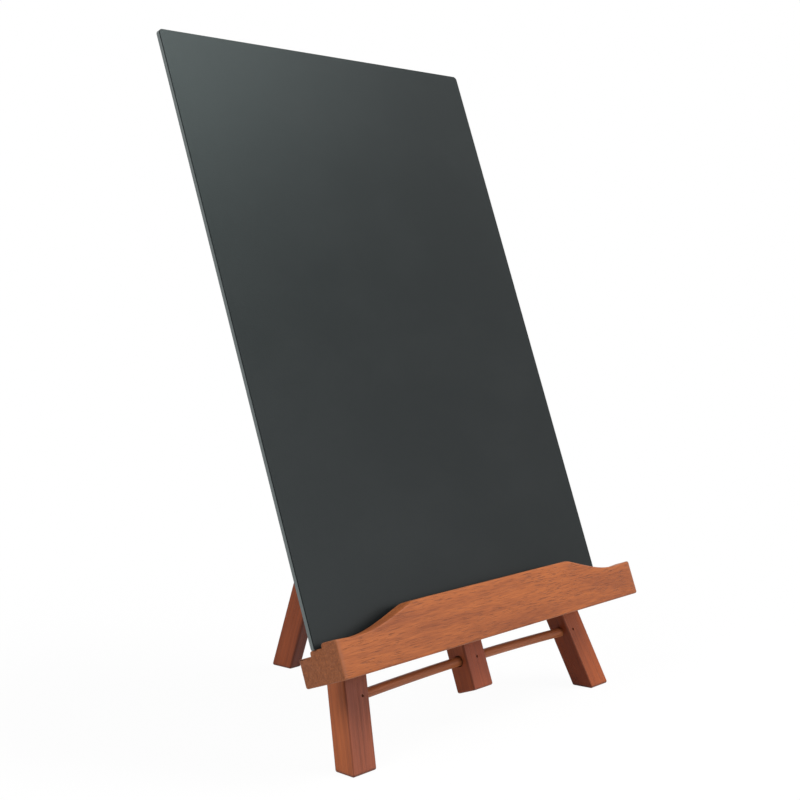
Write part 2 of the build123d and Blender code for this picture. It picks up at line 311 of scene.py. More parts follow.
# %% [markdown]
# ## A piece's own axes
#
# The legs are splayed and lean back, so world X is no use for their grain. Adding up how the
# faces of a mesh look, each by the square of its area, gives the three directions that its
# long faces and ends have, without anyone typing an angle. The piece's own size along them
# then tells length from width and width from depth.

# %% Own axes and half sizes
def own_axes(piece):
    """Turn, middle and half sizes of a bar: length along X, width along Y, depth along Z."""
    spread = np.zeros((3, 3))
    for face in piece.data.polygons:
        facing = np.array(face.normal)
        spread += face.area**2 * np.outer(facing, facing)
    directions = np.linalg.eigh(spread)[1]
    points = np.array([corner.co for corner in piece.data.vertices])
    longest_first = np.argsort(-np.ptp(points @ directions, axis=0))
    length, width = (Vector(directions[:, column]) for column in longest_first[:2])
    length, width = (way if max(way, key=abs) > 0 else -way for way in (length, width))
    turn = Matrix((length, width, length.cross(width))).transposed()
    points = points @ np.array(turn)
    low, high = points.min(0), points.max(0)
    return turn, turn @ Vector((low + high) / 2), Vector((high - low) / 2)


def own_place(tree, turn, middle):
    """A piece's own coordinates, and which way its surface faces in them."""
    source = put(tree, "ShaderNodeTexCoord").outputs
    angles = turn.to_euler()
    inputs = {"Vector": source["Object"], "Location": middle, "Rotation": angles}
    place = put(tree, "ShaderNodeMapping", inputs, vector_type="TEXTURE")
    inputs = {"Vector": source["Normal"], "Rotation": angles}
    facing = put(tree, "ShaderNodeMapping", inputs, vector_type="TEXTURE")
    return place.outputs[0], facing.outputs[0]


# %% [markdown]
# ## From a group to a finish
#
# A group gives colours and masks, but the shader itself belongs in the material, with its
# steady values typed on its own sockets. Two helpers do that for every finish: one makes the
# material, and the other turns a height into a bump.

# %% A new material with its shader
def new_material(name, **steady):
    """A material, its tree and its shader, with steady values set on the shader's sockets."""
    material = bpy.data.materials.new(name)
    material.use_nodes = True
    tree = material.node_tree
    shader = tree.nodes["Principled BSDF"]
    for socket, value in steady.items():
        shader.inputs[socket.replace("_", " ")].default_value = value
    return material, tree, shader


def raise_surface(tree, shader, height, distance):
    """Feeds a height to the shader as a bump of so many metres."""
    bump = put(tree, "ShaderNodeBump", {"Height": height, "Distance": distance, "Strength": 1.0})
    tree.links.new(bump.outputs[0], shader.inputs["Normal"])


# %% [markdown]
# ## The finish of a piece of timber
#
# The lacquer is thin and satin, so the wood gets a light coat over a fairly rough base. End
# grain soaks up stain, so the last millimetres of a piece darken. Bars also get the arris
# group, and the rim of a foot is darkened by its height above the table, since every foot is
# cut level.

# %% The finish of a piece of timber
stain_pool = (0.085, 0.028, 0.018, 1)
stain_share = 0.62
highlight_share = 0.30
soak_share = 0.8
rim_full = 0.8 * mm
rim_gone = 2.6 * mm
grain_relief = 0.12 * mm


def stain_arrises(tree, colour, place, half, light):
    """Darkens a bar's arrises with stain and the rim of its foot, and paints a paler highlight on the
    crowns.
    """
    inputs = {"Place": place, "Half Width": half.y, "Half Depth": half.z}
    edge = put(tree, "ShaderNodeGroup", inputs, node_tree=arris).outputs
    source = put(tree, "ShaderNodeTexCoord").outputs["Object"]
    height = put(tree, "ShaderNodeSeparateXYZ", {0: source}).outputs[2]
    # A foot's faces are darker within a few millimetres of the table, mixed towards the same colour as the
    # stained arrises.
    foot_rim = fade(tree, height, rim_full, rim_gone, 1.0, 0.0)
    stained = maths(tree, "MAXIMUM", edge["Near"], foot_rim)
    colour = mix(tree, maths(tree, "MULTIPLY", stained, stain_share), colour, stain_pool)
    # The paler crown is a painted highlight.
    return mix(tree, maths(tree, "MULTIPLY", edge["Painted Highlight"], highlight_share), colour, (*light, 1))


def wood_finish(
    name,
    axes,
    plank,
    light,
    dark,
    end,
    side=(1, 1, 1),
    slope=0.0,
    pores=1.0,
    soak=1.5 * mm,
    is_bar=True,
):
    """A stained and lacquered piece of timber, with its grain along the piece."""
    turn, middle, half = axes
    lacquer = {"Specular_IOR_Level": 0.14, "Coat_Weight": 0.02, "Coat_Roughness": 0.30}
    material, tree, shader = new_material(name, **lacquer)
    place, facing = own_place(tree, turn, middle)
    along = maths(tree, "ABSOLUTE", put(tree, "ShaderNodeSeparateXYZ", {0: place}).outputs[0])
    soaked = fade(tree, along, half.x - soak, half.x, 0.0, soak_share)
    inputs = {"Place": place, "Facing": facing, "Plank": plank}
    inputs.update({"Slope": slope, "Pores": pores, "Soaked": soaked})
    inputs.update({"Light": (*light, 1), "Dark": (*dark, 1), "End": (*end, 1), "Side": (*side, 1)})
    wood = put(tree, "ShaderNodeGroup", inputs, node_tree=timber).outputs
    colour = wood["Color"]
    if is_bar:
        colour = stain_arrises(tree, colour, place, half, light)
    tree.links.new(colour, shader.inputs["Base Color"])
    tree.links.new(wood["Roughness"], shader.inputs["Roughness"])
    raise_surface(tree, shader, wood["Height"], grain_relief)
    return material


# %% [markdown]
# ## The frame's timbers
#
# Legs, post, rail and rear leg are sawn from the same darker stock. Their CAD meshes already
# have the rounded arrises and drilled holes, so each only needs its own finish, assigned to
# the slot that it came with. No two sticks take stain alike, so each gets a tint. Their narrow
# sides get one more colour factor, and that is painted light and shade, not stain.

# %% Finish the bars of the frame
frame_light = (0.305, 0.083, 0.030)
frame_dark = (0.160, 0.043, 0.020)
frame_end = (0.15, 0.050, 0.024)


def tinted(colour, tint):
    """A colour, channel by channel, under a tint."""
    return tuple(part * share for part, share in zip(colour, tint))


def finish_bar(name, plank, tint=(1, 1, 1), side=(1, 1, 1)):
    """Gives a bar its own tint of the stain, and painted light and shade on its narrow sides."""
    bar = frame["nodes"][name]
    shades = [tinted(colour, tint) for colour in (frame_light, frame_dark, frame_end)]
    stained = wood_finish(name + "_timber", own_axes(bar), plank, *shades, side=side)
    bar.material_slots[0].material = stained
    print(name, "is finished as one bar")


# The side factors are painted light and shade: lighter sides for the left leg and the post, as if a lamp at
# the left fell on them, and darker sides for the right leg and the rear leg, as if in the shade of the
# frame.
finish_bar("left_leg", 1, tint=(0.82, 0.82, 0.90), side=(1.38, 1.42, 1.20))
finish_bar("right_leg", 2, tint=(1.12, 0.97, 0.60), side=(0.58, 0.46, 0.50))
finish_bar("centre_post", 3, tint=(0.94, 0.82, 0.76), side=(1.14, 1.16, 1.16))
finish_bar("head_rail", 4)
finish_bar("rear_leg", 5, tint=(0.90, 0.77, 0.66), side=(0.60, 0.52, 0.55))

# %% [markdown]
# ## The board
#
# The board is a grey sheet with a thin charcoal writing face. The paint is matt but not dull:
# its fine tooth spreads the light of a lamp into a wide soft sheen. Dust and old chalk that
# was wiped off leave faint pale smears and a few specks.

# %% The chalk dust group and the writing face
dust, given, result = group(
    "ShaderNodeTree",
    "Chalk dust",
    {"Place": ("Vector", None)},
    {"Smear": "Float", "Speck": "Float", "Tooth": "Float"},
)
smear = noise(dust, given["Place"], (9, 14, 14), detail=4.0, roughness=0.55)
dust.links.new(fade(dust, smear, 0.40, 0.75), result["Smear"])
cells_in_a_metre = (70, 70, 70)
inputs = {0: given["Place"], 1: cells_in_a_metre}
cells = put(dust, "ShaderNodeVectorMath", inputs, operation="MULTIPLY")
dots = put(dust, "ShaderNodeTexVoronoi", {"Vector": cells.outputs[0], "Scale": 1.0})
lucky = put(dust, "ShaderNodeSeparateColor", {0: dots.outputs["Color"]}).outputs[0]
small_dot = fade(dust, dots.outputs["Distance"], 0.035, 0.02)
one_in_ten = fade(dust, lucky, 0.90, 0.92)
dust.links.new(maths(dust, "MULTIPLY", small_dot, one_in_ten), result["Speck"])
dust.links.new(noise(dust, given["Place"], (900, 1500, 1500), detail=3.0), result["Tooth"])


def chalk_finish():
    """Charcoal chalkboard paint."""
    paint_dark = (0.0050, 0.0056, 0.0060, 1)
    paint_light = (0.0086, 0.0096, 0.0100, 1)
    smear_colour = (0.55, 0.57, 0.56, 1)
    speck_colour = (0.6, 0.62, 0.6, 1)
    smear_share = 0.004
    speck_share = 0.10
    sheen = {"Specular_IOR_Level": 0.118, "Specular_Tint": (0.70, 1.0, 0.97, 1)}
    material, tree, shader = new_material("chalk_paint", **sheen)
    place = put(tree, "ShaderNodeTexCoord").outputs["Object"]
    marks = put(tree, "ShaderNodeGroup", {"Place": place}, node_tree=dust).outputs
    paint = mix(tree, marks["Tooth"], paint_dark, paint_light)
    paint = mix(tree, maths(tree, "MULTIPLY", marks["Smear"], smear_share), paint, smear_colour)
    paint = mix(tree, maths(tree, "MULTIPLY", marks["Speck"], speck_share), paint, speck_colour)
    tree.links.new(paint, shader.inputs["Base Color"])
    shine = maths(tree, "MULTIPLY_ADD", marks["Tooth"], 0.08, 0.31)
    shine = maths(tree, "MULTIPLY_ADD", marks["Smear"], 0.03, shine)
    tree.links.new(shine, shader.inputs["Roughness"])
    raise_surface(tree, shader, marks["Tooth"], 0.05 * mm)
    return material


frame["nodes"]["writing_skin"].material_slots[0].material = chalk_finish()
print("the writing face is painted; its dust group has", len(dust.nodes), "nodes")


# %% [markdown]
# ## The board's core
#
# The core is a plain grey sheet. Its sawn edge shows down the left side as a pale line, with
# fine marks across it from the saw. Its back is what one sees from behind.

# %% The grey core
def core_finish():
    """A grey pressed sheet, with saw marks up its edges and a faint fleck on its back."""
    sheet_dark = (0.085, 0.10, 0.10, 1)
    sheet_light = (0.13, 0.148, 0.147, 1)
    cloud_colour = (0.07, 0.08, 0.08, 1)
    cloud_share = 0.35
    material, tree, shader = new_material("grey_sheet", Specular_IOR_Level=0.25)
    place = put(tree, "ShaderNodeTexCoord").outputs["Object"]
    fleck = noise(tree, place, (700, 700, 700), detail=3.0, roughness=0.7)
    cloud = noise(tree, place, (12, 12, 12), detail=2.0)
    saw = noise(tree, place, (150, 150, 1600), detail=1.0)
    sheet = mix(tree, fleck, sheet_dark, sheet_light)
    sheet = mix(tree, maths(tree, "MULTIPLY", cloud, cloud_share), sheet, cloud_colour)
    tree.links.new(sheet, shader.inputs["Base Color"])
    tree.links.new(maths(tree, "MULTIPLY_ADD", fleck, 0.2, 0.5), shader.inputs["Roughness"])
    raise_surface(tree, shader, maths(tree, "MULTIPLY_ADD", saw, 0.7, fleck), 0.04 * mm)
    return material


frame["nodes"]["board_core"].material_slots[0].material = core_finish()
print("the board's core is a plain grey sheet")


# %% [markdown]
# ## Zinc-plated steel
#
# Bolt, washers, nut and wood screws are bright plated steel, and the brads are a darker one.
# Neither is even: steel has a fine brushed grain and cloudy patches, which show as changes in
# roughness as well as in colour. One group serves both.

# %% Steel, shared by every fastener
steel_marks, given, result = group(
    "ShaderNodeTree",
    "Plating marks",
    {"Place": ("Vector", None)},
    {"Cloud": "Float", "Brush": "Float"},
)
clouds = noise(steel_marks, given["Place"], (260, 260, 260), detail=4.0)
brushing = noise(steel_marks, given["Place"], (900, 6000, 6000), detail=2.0)
steel_marks.links.new(clouds, result["Cloud"])
steel_marks.links.new(brushing, result["Brush"])


def steel_finish(name, bright, dull):
    """Steel between a bright and a dull tone."""
    material, tree, shader = new_material(name, Metallic=1.0)
    place = put(tree, "ShaderNodeTexCoord").outputs["Object"]
    marks = put(tree, "ShaderNodeGroup", {"Place": place}, node_tree=steel_marks).outputs
    tree.links.new(mix(tree, marks["Cloud"], (*bright, 1), (*dull, 1)), shader.inputs["Base Color"])
    shine = maths(tree, "MULTIPLY_ADD", marks["Cloud"], 0.25, 0.20)
    shine = maths(tree, "MULTIPLY_ADD", marks["Brush"], 0.12, shine)
    tree.links.new(shine, shader.inputs["Roughness"])
    raise_surface(tree, shader, marks["Brush"], 0.02 * mm)
    return material


zinc = steel_finish("zinc_plate", (0.66, 0.66, 0.64), (0.42, 0.42, 0.43))
dark_steel = steel_finish("brad_steel", (0.10, 0.08, 0.07), (0.05, 0.035, 0.03))
for name in ("pivot_bolt", "pivot_washers", "lock_nut"):
    frame["nodes"][name].material_slots[0].material = zinc
frame["nodes"]["stretcher_brads"].material_slots[0].material = dark_steel
print("bolt, washers and nut are plated, and the brads are dark")

# %% [markdown]
# ## How a node-made piece becomes part of the model
#
# A Geometry Nodes modifier hangs on a carrier object, which brings its drawing: a section, a
# few points, or nothing. The modifier's inputs are set by their socket's identifier. Then the
# evaluated result is copied into a plain mesh, moved to its place, and the carrier goes.

# %% Run a tree on a drawing and keep the mesh
weld_distance = 0.001 * mm


def run_tree(tree, drawing, **values):
    """The mesh that a Geometry Nodes tree makes from a drawing."""
    carrier = bpy.data.objects.new("carrier", drawing)
    bpy.context.scene.collection.objects.link(carrier)
    modifier = carrier.modifiers.new("rule", "NODES")
    modifier.node_group = tree
    inputs = [item for item in tree.interface.items_tree if item.in_out == "INPUT"]
    sockets = {item.name: item.identifier for item in inputs}
    for label, value in values.items():
        modifier[sockets[label.replace("_", " ")]] = value
    graph = bpy.context.evaluated_depsgraph_get()
    mesh = bpy.data.meshes.new_from_object(carrier.evaluated_get(graph), depsgraph=graph)
    bpy.data.objects.remove(carrier)
    return mesh


def finish_mesh(mesh, sharp_angle, ease=0.0):
    """Stands a mesh up, closes its seams, eases its sharp edges and smooths the rest."""
    work = bmesh.new()
    work.from_mesh(mesh)
    bmesh.ops.remove_doubles(work, verts=work.verts, dist=weld_distance)
    bmesh.ops.recalc_face_normals(work, faces=work.faces)
    if ease:
        crisp = [edge for edge in work.edges if edge.calc_face_angle(0.0) > sharp_angle]
        bmesh.ops.bevel(work, geom=crisp, offset=ease, segments=2, profile=0.5, affect="EDGES")
    bmesh.ops.transform(work, matrix=stand, verts=work.verts)
    work.to_mesh(mesh)
    work.free()
    mesh.shade_smooth()
    mesh.set_sharp_from_angle(angle=sharp_angle)
    return mesh


def keep(name, mesh, body, slot, *nodes):
    """Makes the piece, which rides on a body and stands for CAD nodes."""
    piece = bpy.data.objects.new(name, mesh)
    bpy.context.scene.collection.objects.link(piece)
    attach(piece, body)
    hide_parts(*nodes)
    print(name, "has", len(mesh.polygons), "faces")


# %% [markdown]
# ## The waved ledge: its rule
#
# Seen from the front, the top of the ledge's lip is level in the middle, falls in an ogee to
# each side and lifts again towards the ends. Three straight lines describe it: a level one, one
# that falls and one that rises. A smooth minimum of the first two rounds the crest, and a
# smooth maximum with the third hollows the dip. Those are two Math nodes.

# %% The ledge tree: sweep the section, then lift the lip
ledge_tree, given, result = group(
    "GeometryNodeTree",
    "Waved ledge",
    {
        "Section": ("Geometry", None),
        "Length": ("Float", 320 * mm),
        "Crest Rise": ("Float", 14.2 * mm),
        "Crest Half Length": ("Float", 85 * mm),
        "Crest Blend": ("Float", 1.1 * mm),
        "Fall": ("Float", 0.3),
        "End Rise": ("Float", 3 * mm),
        "End Lift": ("Float", 0.06),
        "Dip Blend": ("Float", 11 * mm),
        "Stations": ("Int", 161),
        "Drawn Rise": ("Float", 8 * mm),
        "Material": ("Material", None),
    },
    {"Ledge": "Geometry"},
)


def named(tree, name):
    """A number stored on the drawing's points."""
    return put(tree, "GeometryNodeInputNamedAttribute", {"Name": name}, data_type="FLOAT").outputs[0]


half = maths(ledge_tree, "MULTIPLY", given["Length"], 0.5)
left = put(ledge_tree, "ShaderNodeCombineXYZ", {0: maths(ledge_tree, "MULTIPLY", half, -1.0)})
right = put(ledge_tree, "ShaderNodeCombineXYZ", {0: half})
line = put(ledge_tree, "GeometryNodeCurvePrimitiveLine", {"Start": left.outputs[0], "End": right.outputs[0]})
rail = put(ledge_tree, "GeometryNodeResampleCurve", {"Curve": line.outputs[0], "Count": given["Stations"]})
rail = put(ledge_tree, "GeometryNodeSetCurveTilt", {"Curve": rail.outputs[0], "Tilt": math.pi})
outline = put(ledge_tree, "GeometryNodeMeshToCurve", {0: given["Section"]})
rounded = put(
    ledge_tree,
    "GeometryNodeFilletCurve",
    {"Curve": outline.outputs[0], "Count": 7, "Radius": named(ledge_tree, "round")},
    mode="POLY",
)
inputs = {"Curve": rail.outputs[0], "Profile Curve": rounded.outputs[0], "Fill Caps": True}
swept = put(ledge_tree, "GeometryNodeCurveToMesh", inputs)

position = put(ledge_tree, "GeometryNodeInputPosition").outputs[0]
sideways = put(ledge_tree, "ShaderNodeSeparateXYZ", {0: position}).outputs[0]
out = maths(ledge_tree, "ABSOLUTE", sideways)
past_crest = maths(ledge_tree, "SUBTRACT", out, given["Crest Half Length"])
drop = maths(ledge_tree, "MULTIPLY", past_crest, given["Fall"])
falling = maths(ledge_tree, "SUBTRACT", given["Crest Rise"], drop)
from_end = maths(ledge_tree, "SUBTRACT", half, out)
dip = maths(ledge_tree, "MULTIPLY", from_end, given["End Lift"])
rising = maths(ledge_tree, "SUBTRACT", given["End Rise"], dip)
wave = maths(ledge_tree, "SMOOTH_MIN", given["Crest Rise"], falling, given["Crest Blend"])
wave = maths(ledge_tree, "SMOOTH_MAX", wave, rising, given["Dip Blend"])
lift = maths(ledge_tree, "SUBTRACT", wave, given["Drawn Rise"])
lift = maths(ledge_tree, "MULTIPLY", lift, named(ledge_tree, "lift"))
offset = put(ledge_tree, "ShaderNodeCombineXYZ", {2: lift}).outputs[0]
waved = put(ledge_tree, "GeometryNodeSetPosition", {"Geometry": swept.outputs[0], "Offset": offset})
real = put(ledge_tree, "GeometryNodeRealizeInstances", {0: waved.outputs[0]})
painted = put(ledge_tree, "GeometryNodeSetMaterial", {0: real.outputs[0], "Material": given["Material"]})
ledge_tree.links.new(painted.outputs[0], result["Ledge"])
print("the ledge's tree has", len(ledge_tree.nodes), "nodes")

# %% [markdown]
# ## The ledge's section and its finish
#
# The section is drawn as the ledge's left end shows it: a block at the back, a shelf with a
# beaded nose that the board stands on, a slot, and the lip in front. Each corner carries the
# radius of its rounding, and the two corners on top of the lip are marked to be lifted by the
# wave. The ledge is the most orange piece of the easel, with the boldest pores.

# %% Make the ledge
lip_front = 17.2 * mm
lip_back = 4.0 * mm
frame_face = 17.0 * mm
nose_face = 6.6 * mm
block_top = -3.3 * mm
ledge_bottom = -21.5 * mm
drawn_rise = 8.0 * mm

section_corners = [
    # depth, height, rounding, lifted
    (-lip_front, ledge_bottom, 1.5 * mm, 0),
    (frame_face, ledge_bottom, 1.5 * mm, 0),
    (frame_face, block_top, 0.3 * mm, 0),
    (nose_face, block_top, 0.3 * mm, 0),
    (nose_face, 0, 1.8 * mm, 0),
    (-lip_back, 0, 0.3 * mm, 0),
    (-lip_back, drawn_rise, 2.0 * mm, 1),
    (-lip_front, drawn_rise, 1.3 * mm, 1),
]


def draw_section(corners):
    """A closed line, drawn flat, whose points carry their rounding and whether they lift."""
    count = len(corners)
    drawing = bpy.data.meshes.new("section")
    points = [(depth, height, 0) for depth, height, *_ in corners]
    drawing.from_pydata(points, [(start, (start + 1) % count) for start in range(count)], [])
    for label, column in (("round", 2), ("lift", 3)):
        values = drawing.attributes.new(label, "FLOAT", "POINT").data
        values.foreach_set("value", [float(corner[column]) for corner in corners])
    return drawing


ledge_light = (0.348, 0.104, 0.0255)
ledge_dark = (0.172, 0.046, 0.0145)
ledge_end = (0.220, 0.078, 0.034)
ledge_half = Vector((160, 17, 18)) * mm
ledge_centre = shelf_line + Vector((ledge_middle, 0, 0))
end_ease = 0.8 * mm
smooth_below = math.radians(50)
ledge_timber = wood_finish(
    "ledge_timber",
    (tilt.to_3x3(), ledge_centre, ledge_half),
    7,
    ledge_light,
    ledge_dark,
    ledge_end,
    slope=0.06,
    pores=1.3,
    soak=5 * mm,
    is_bar=False,
)
section = draw_section(section_corners)
ledge_mesh = run_tree(ledge_tree, section, Drawn_Rise=drawn_rise, Material=ledge_timber)
ledge_mesh.transform(Matrix.Translation((ledge_middle, 0, 0)))
ledge_mesh = finish_mesh(ledge_mesh, smooth_below, ease=end_ease)
keep("waved_ledge", ledge_mesh, "easel_frame", "ledge_wood", "ledge")

# %% [markdown]
# ## The bowed rod
#
# The rod is a plain dowel, but the hole in the post sits a little high, so it runs in a long
# arc. An arc through three points is a curve primitive, and sweeping a circle along it is all
# that a dowel needs. Its place comes from the CAD box of the rod.

# %% The rod tree and the rod
rod_tree, given, result = group(
    "GeometryNodeTree",
    "Bowed rod",
    {
        "Nothing": ("Geometry", None),
        "Half Span": ("Float", 120 * mm),
        "Bow": ("Float", 2 * mm),
        "Diameter": ("Float", 6 * mm),
        "Material": ("Material", None),
    },
    {"Rod": "Geometry"},
)
span_end = put(rod_tree, "ShaderNodeCombineXYZ", {0: given["Half Span"]}).outputs[0]
mirror = (-1, 1, 1)
arc_points = 49
round_points = 32
inputs = {0: span_end, 1: mirror}
span_start = put(rod_tree, "ShaderNodeVectorMath", inputs, operation="MULTIPLY").outputs[0]
crown_point = put(rod_tree, "ShaderNodeCombineXYZ", {2: given["Bow"]}).outputs[0]
inputs = {"Resolution": arc_points, "Start": span_start, "Middle": crown_point, "End": span_end}
arc = put(rod_tree, "GeometryNodeCurveArc", inputs, mode="POINTS")
radius = maths(rod_tree, "MULTIPLY", given["Diameter"], 0.5)
inputs = {"Resolution": round_points, "Radius": radius}
circle = put(rod_tree, "GeometryNodeCurvePrimitiveCircle", inputs)
inputs = {"Curve": arc.outputs[0], "Profile Curve": circle.outputs[0], "Fill Caps": True}
dowel = put(rod_tree, "GeometryNodeCurveToMesh", inputs)
real = put(rod_tree, "GeometryNodeRealizeInstances", {0: dowel.outputs[0]})
painted = put(rod_tree, "GeometryNodeSetMaterial", {0: real.outputs[0], "Material": given["Material"]})
rod_tree.links.new(painted.outputs[0], result["Rod"])


def in_easel_frame(node):
    """A CAD node's points in the board's own frame."""
    back = stand.inverted()
    return np.array([back @ corner.co for corner in frame["nodes"][node].data.vertices])


rod_diameter = 6.5 * mm
rod_points = in_easel_frame("stretcher")
rod_half = (rod_points[:, 0].max() - rod_points[:, 0].min()) / 2
rod_depth = (rod_points[:, 1].max() + rod_points[:, 1].min()) / 2
rod_crown = rod_points[:, 2].max() - rod_diameter / 2
rod_foot = rod_points[:, 2].min() + rod_diameter / 2
rod_axes = (tilt.to_3x3(), shelf_line, Vector((rod_half, rod_diameter / 2, rod_diameter / 2)))
rod_light = (0.33, 0.112, 0.038)
rod_dark = (0.19, 0.060, 0.024)
rod_timber = wood_finish(
    "rod_timber", rod_axes, 9, rod_light, rod_dark, ledge_end, pores=0.5, is_bar=False
)
rod_mesh = run_tree(
    rod_tree,
    bpy.data.meshes.new("nothing"),
    Half_Span=float(rod_half),
    Bow=float(rod_crown - rod_foot),
    Diameter=rod_diameter,
    Material=rod_timber,
)
rod_mesh.transform(Matrix.Translation((0, rod_depth, rod_foot)))
rod_mesh = finish_mesh(rod_mesh, smooth_below)
keep("bowed_rod", rod_mesh, "easel_frame", "rod_wood", "stretcher")

# %% [markdown]
# ## The wood screws
#
# Six countersunk screws hold ledge and rail from behind, and they repeat, so one tree turns a
# single screw from simple solids and sets it on every seat. A real screw stops wherever it is
# tight, so each gets a random turn about its own axis, from a fixed seed.

# %% The screw tree
screw_tree, given, result = group(
    "GeometryNodeTree",
    "Countersunk screws",
    {
        "Seats": ("Geometry", None),
        "Head Diameter": ("Float", 7 * mm),
        "Head Height": ("Float", 2.6 * mm),
        "Rim": ("Float", 0.3 * mm),
        "Shank Diameter": ("Float", 3.5 * mm),
        "Length": ("Float", 30 * mm),
        "Point": ("Float", 5 * mm),
        "Recess Span": ("Float", 4.2 * mm),
        "Recess Width": ("Float", 0.9 * mm),
        "Recess Depth": ("Float", 1.4 * mm),
        "Seed": ("Int", 4),
        "Material": ("Material", None),
    },
    {"Screws": "Geometry"},
)


def halve(value):
    """Half of a size of the screw."""
    return maths(screw_tree, "MULTIPLY", value, 0.5)


def lower(shape, depth):
    """Moves a solid down the screw's axis."""
    down = put(screw_tree, "ShaderNodeCombineXYZ", {2: maths(screw_tree, "MULTIPLY", depth, -1.0)})
    return put(screw_tree, "GeometryNodeTransform", {0: shape, "Translation": down.outputs[0]}).outputs[0]


turned_sides = 40


def cone(top, bottom, start, end):
    """A turned solid between two depths below the head's face."""
    depth = maths(screw_tree, "SUBTRACT", end, start)
    inputs = {"Vertices": turned_sides, "Radius Top": top, "Radius Bottom": bottom, "Depth": depth}
    return lower(put(screw_tree, "GeometryNodeMeshCone", inputs).outputs[0], end)


def joined(operation, first, *others):
    """A union of solids, or a solid with others cut out."""
    node = put(screw_tree, "GeometryNodeMeshBoolean", operation=operation, solver="EXACT")
    if operation == "DIFFERENCE":
        screw_tree.links.new(first, node.inputs["Mesh 1"])
    else:
        others = (first, *others)
    for other in others:
        screw_tree.links.new(other, node.inputs["Mesh 2"])
    return node.outputs[0]


head_radius = halve(given["Head Diameter"])
shank_radius = halve(given["Shank Diameter"])
straight = maths(screw_tree, "SUBTRACT", given["Length"], given["Point"])
overlap = 0.05 * mm
tip_radius = 0.1 * mm
rim_end = maths(screw_tree, "ADD", given["Rim"], overlap)
shank_end = maths(screw_tree, "ADD", straight, overlap)
rim_solid = cone(head_radius, head_radius, 0.0, rim_end)
taper_solid = cone(head_radius, shank_radius, given["Rim"], given["Head Height"])
shank_start = maths(screw_tree, "SUBTRACT", given["Head Height"], overlap)
shank_solid = cone(shank_radius, shank_radius, shank_start, shank_end)
point_solid = cone(shank_radius, tip_radius, straight, given["Length"])
blank = joined("UNION", rim_solid, taper_solid, shank_solid, point_solid)

double_depth = maths(screw_tree, "MULTIPLY", given["Recess Depth"], 2.0)
wings = []
for order in ((0, 1), (1, 0)):
    sizes = {order[0]: given["Recess Span"], order[1]: given["Recess Width"], 2: double_depth}
    size = put(screw_tree, "ShaderNodeCombineXYZ", sizes).outputs[0]
    wings.append(put(screw_tree, "GeometryNodeMeshCube", {"Size": size}).outputs[0])

# The heart of the recess is wider than a wing and deeper, and starts just above the face.
heart_depth = maths(screw_tree, "MULTIPLY", given["Recess Depth"], 1.25)
heart_radius = maths(screw_tree, "MULTIPLY", given["Recess Width"], 1.3)
heart_foot_radius = 0.2 * mm
heart_top = -0.1 * mm
heart = cone(heart_radius, heart_foot_radius, heart_top, heart_depth)
screw = joined("DIFFERENCE", blank, *wings, heart)

seats = put(screw_tree, "GeometryNodeMeshToPoints", {0: given["Seats"]})
inputs = {"Points": seats.outputs[0], "Instance": screw, "Rotation": (math.radians(-90), 0, 0)}
placed = put(screw_tree, "GeometryNodeInstanceOnPoints", inputs)
spin = put(screw_tree, "FunctionNodeRandomValue", {2: 0.0, 3: math.pi, "Seed": given["Seed"]}).outputs[1]
spin = put(screw_tree, "ShaderNodeCombineXYZ", {2: spin}).outputs[0]
inputs = {0: placed.outputs[0], "Rotation": spin, "Local Space": True}
spun = put(screw_tree, "GeometryNodeRotateInstances", inputs)
real = put(screw_tree, "GeometryNodeRealizeInstances", {0: spun.outputs[0]})
painted = put(screw_tree, "GeometryNodeSetMaterial", {0: real.outputs[0], "Material": given["Material"]})
screw_tree.links.new(painted.outputs[0], result["Screws"])
print("the screws' tree has", len(screw_tree.nodes), "nodes")

# %% [markdown]
# ## Seats for the screws
#
# The CAD model knows where the screws go. Its three screws of a height lie side by side, so
# they are told apart by the gaps between them along X, and the face of each head is the
# furthest back that it reaches.

# %% Find the seats and drive the screws
screw_gap = 20 * mm
keep_crisp_above = math.radians(35)


def screw_seats(node):
    """The middle of each screw head's face, and the screws' length, in the board's frame."""
    points = in_easel_frame(node)
    points = points[np.argsort(points[:, 0])]
    breaks = np.where(np.diff(points[:, 0]) > screw_gap)[0] + 1
    seats = []
    for screw_points in np.split(points, breaks):
        low, high = screw_points.min(0), screw_points.max(0)
        seats.append(((low[0] + high[0]) / 2, high[1], (low[2] + high[2]) / 2))
    return seats, float(points[:, 1].max() - points[:, 1].min())


for node, seed in (("ledge_screws", 4), ("rail_screws", 11)):
    seats, length = screw_seats(node)
    drawing = bpy.data.meshes.new("seats")
    drawing.from_pydata(seats, [], [])
    screw_mesh = run_tree(screw_tree, drawing, Length=length, Seed=seed, Material=zinc)
    screw_mesh = finish_mesh(screw_mesh, keep_crisp_above)
    keep("driven_" + node, screw_mesh, "easel_frame", "fastener_steel", node)

# %% [markdown]
# ## The camera
#
# The picture was taken with a long lens, low down and from the front left. Place, heading,
# pitch and roll were worked out from where the board's corners and the feet lie in it.

# %% Camera
camera_place = Vector((-777.31, -694.43, 301.41)) * mm
camera_heading = math.radians(49.212)
camera_pitch = math.radians(-4.745)
camera_roll = math.radians(-0.053)
lens = 66.34
sensor = 36.0

camera_data = bpy.data.cameras.new("camera")
camera_data.lens = lens
camera_data.sensor_width = sensor
camera_data.sensor_fit = "HORIZONTAL"
camera_data.clip_start = 10 * mm
camera = bpy.data.objects.new("camera", camera_data)
heading = Matrix.Rotation(-camera_heading, 4, "Z")
pitch = Matrix.Rotation(math.radians(90) + camera_pitch, 4, "X")
roll = Matrix.Rotation(-camera_roll, 4, "Z")
camera.matrix_world = Matrix.Translation(camera_place) @ heading @ pitch @ roll
bpy.context.scene.collection.objects.link(camera)
bpy.context.scene.camera = camera
print(f"the camera stands {camera_place.length:.2f} m from the point below the easel's middle")


